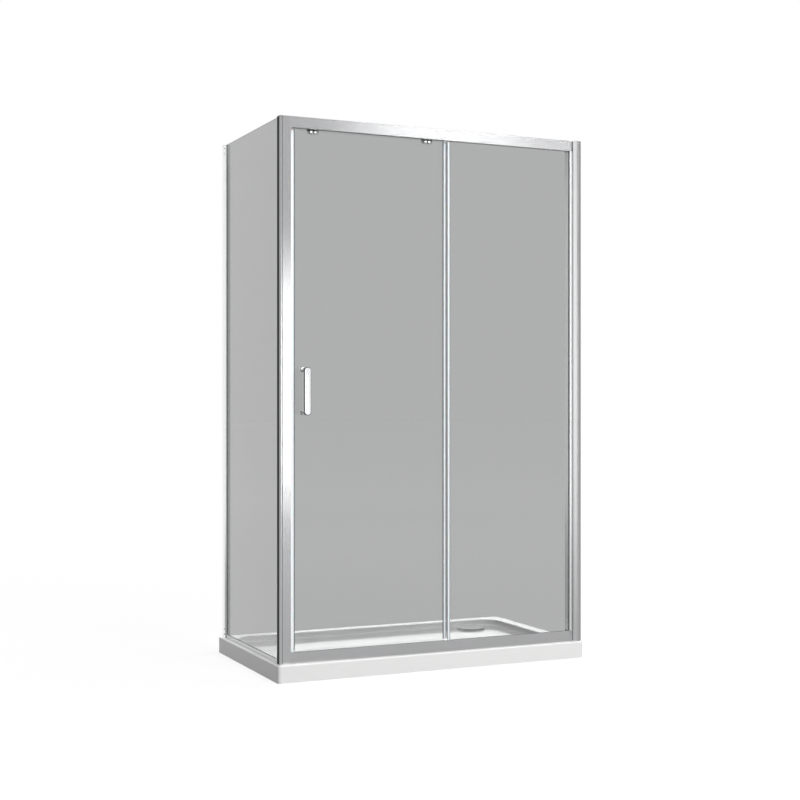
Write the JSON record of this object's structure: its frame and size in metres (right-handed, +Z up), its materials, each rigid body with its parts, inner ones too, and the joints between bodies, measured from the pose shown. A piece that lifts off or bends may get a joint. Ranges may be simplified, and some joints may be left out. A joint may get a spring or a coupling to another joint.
{
  "type": "shower enclosure",
  "caption": "Framed shower enclosure on a low white tray, with a glass side panel, a fixed front pane and a sliding glass door that runs on wheels behind it.",
  "frame": {"origin": "on the floor under the middle of the tray", "axes": "+X runs to the right along the long front, +Y runs back towards the rear wall, +Z is up"},
  "size_m": [1.2, 0.7, 1.935],
  "materials": {
    "tray_acrylic": "glossy white acrylic",
    "chipboard": "raw chipboard sealed with resin",
    "foot_plastic": "black moulded plastic",
    "zinc_steel": "zinc plated",
    "white_abs": "glossy white",
    "grey_plastic": "light grey moulded plastic",
    "black_rubber": "soft black rubber",
    "polished_aluminium": "bright polished silver",
    "silver_plastic": "silver grey moulded plastic",
    "dark_plastic": "dark grey moulded plastic",
    "clear_glass": "toughened glass with a light grey tint, polished edges",
    "clear_seal": "soft milky white seal",
    "dark_strip": "dark grey trim strip",
    "gasket_grey": "soft grey strip",
    "bright_chrome": "mirror chrome",
    "stainless": "plain stainless steel",
    "white_nylon": "white nylon"
  },
  "bodies": {
    "frame_and_tray": {"tray": "tray_acrylic", "tray_base_board": "chipboard", "tray_foot_pads": "foot_plastic", "tray_foot_studs": "zinc_steel", "tray_foot_nuts": "zinc_steel", "waste_top_seal": "black_rubber", "waste_flange": "bright_chrome", "waste_gasket": "black_rubber", "waste_body": "grey_plastic", "corner_post": "polished_aluminium", "corner_post_cover": "polished_aluminium", "corner_post_side_strip": "dark_strip", "corner_post_cap": "silver_plastic", "header_rail": "polished_aluminium", "bottom_rail": "polished_aluminium", "frame_connectors": "zinc_steel", "frame_screws": "stainless", "header_end_block": "dark_plastic", "rail_end_block": "dark_plastic", "wall_profile_right": "polished_aluminium", "wall_profile_right_cap": "silver_plastic", "jamb_profile_right": "polished_aluminium", "jamb_screws_right": "stainless", "wall_profile_rear": "polished_aluminium", "wall_profile_rear_cap": "silver_plastic", "jamb_profile_rear": "polished_aluminium", "jamb_screws_rear": "stainless", "side_glass": "clear_glass", "side_bottom_channel": "polished_aluminium", "side_glass_gaskets": "gasket_grey", "fixed_glass": "clear_glass", "fixed_glass_gaskets": "gasket_grey", "fixed_glass_lead_seal": "clear_seal", "setting_blocks": "black_rubber", "post_magnet_strip": "clear_seal", "door_stop": "black_rubber"},
    "sliding_door": {"door_glass": "clear_glass", "door_lead_seal": "clear_seal", "door_trail_seal": "clear_seal", "roller_hangers": "stainless", "roller_bolts": "bright_chrome", "guide_hangers": "stainless", "guide_bolts": "bright_chrome", "glass_bushes": "white_nylon", "wheel_axles": "stainless", "handle_bar": "bright_chrome", "handle_posts": "bright_chrome", "handle_washers": "clear_seal", "handle_screws": "bright_chrome"},
    "lift_out_cover": {"waste_cover": "white_abs", "hair_strainer": "white_nylon"},
    "top_wheel_1": {"top_wheel_1": "white_nylon"},
    "top_wheel_2": {"top_wheel_2": "white_nylon"},
    "top_wheel_3": {"top_wheel_3": "white_nylon"},
    "top_wheel_4": {"top_wheel_4": "white_nylon"},
    "guide_wheel_1": {"guide_wheel_1": "white_nylon"},
    "guide_wheel_2": {"guide_wheel_2": "white_nylon"}
  },
  "joints": [
    {"name": "door_slide", "type": "slide", "parent": "frame_and_tray", "child": "sliding_door", "axis": [1, 0, 0], "range_m": [0, 0.5]},
    {"name": "top_wheel_1_spin", "type": "hinge", "parent": "sliding_door", "child": "top_wheel_1", "pos_m": [-0.4668, -0.28525, 1.9178], "axis": [0, 1, 0], "continuous": true},
    {"name": "top_wheel_2_spin", "type": "hinge", "parent": "sliding_door", "child": "top_wheel_2", "pos_m": [-0.4408, -0.28525, 1.9178], "axis": [0, 1, 0], "continuous": true},
    {"name": "top_wheel_3_spin", "type": "hinge", "parent": "sliding_door", "child": "top_wheel_3", "pos_m": [-0.03198, -0.28525, 1.9178], "axis": [0, 1, 0], "continuous": true},
    {"name": "top_wheel_4_spin", "type": "hinge", "parent": "sliding_door", "child": "top_wheel_4", "pos_m": [-0.00598, -0.28525, 1.9178], "axis": [0, 1, 0], "continuous": true},
    {"name": "guide_wheel_1_spin", "type": "hinge", "parent": "sliding_door", "child": "guide_wheel_1", "pos_m": [-0.4538, -0.28525, 0.0728], "axis": [0, 1, 0], "continuous": true},
    {"name": "guide_wheel_2_spin", "type": "hinge", "parent": "sliding_door", "child": "guide_wheel_2", "pos_m": [-0.01898, -0.28525, 0.0728], "axis": [0, 1, 0], "continuous": true},
    {"name": "waste_cover_lift", "type": "slide", "parent": "frame_and_tray", "child": "lift_out_cover", "axis": [0, 0, 1], "range_m": [0, 0.06]}
  ],
  "couplings": [
    {"joint": "top_wheel_1_spin", "follows": "door_slide", "rad_per_m": 125},
    {"joint": "top_wheel_2_spin", "follows": "door_slide", "rad_per_m": 125},
    {"joint": "top_wheel_3_spin", "follows": "door_slide", "rad_per_m": 125},
    {"joint": "top_wheel_4_spin", "follows": "door_slide", "rad_per_m": 125},
    {"joint": "guide_wheel_1_spin", "follows": "door_slide", "rad_per_m": 166.67},
    {"joint": "guide_wheel_2_spin", "follows": "door_slide", "rad_per_m": 166.67}
  ]
}
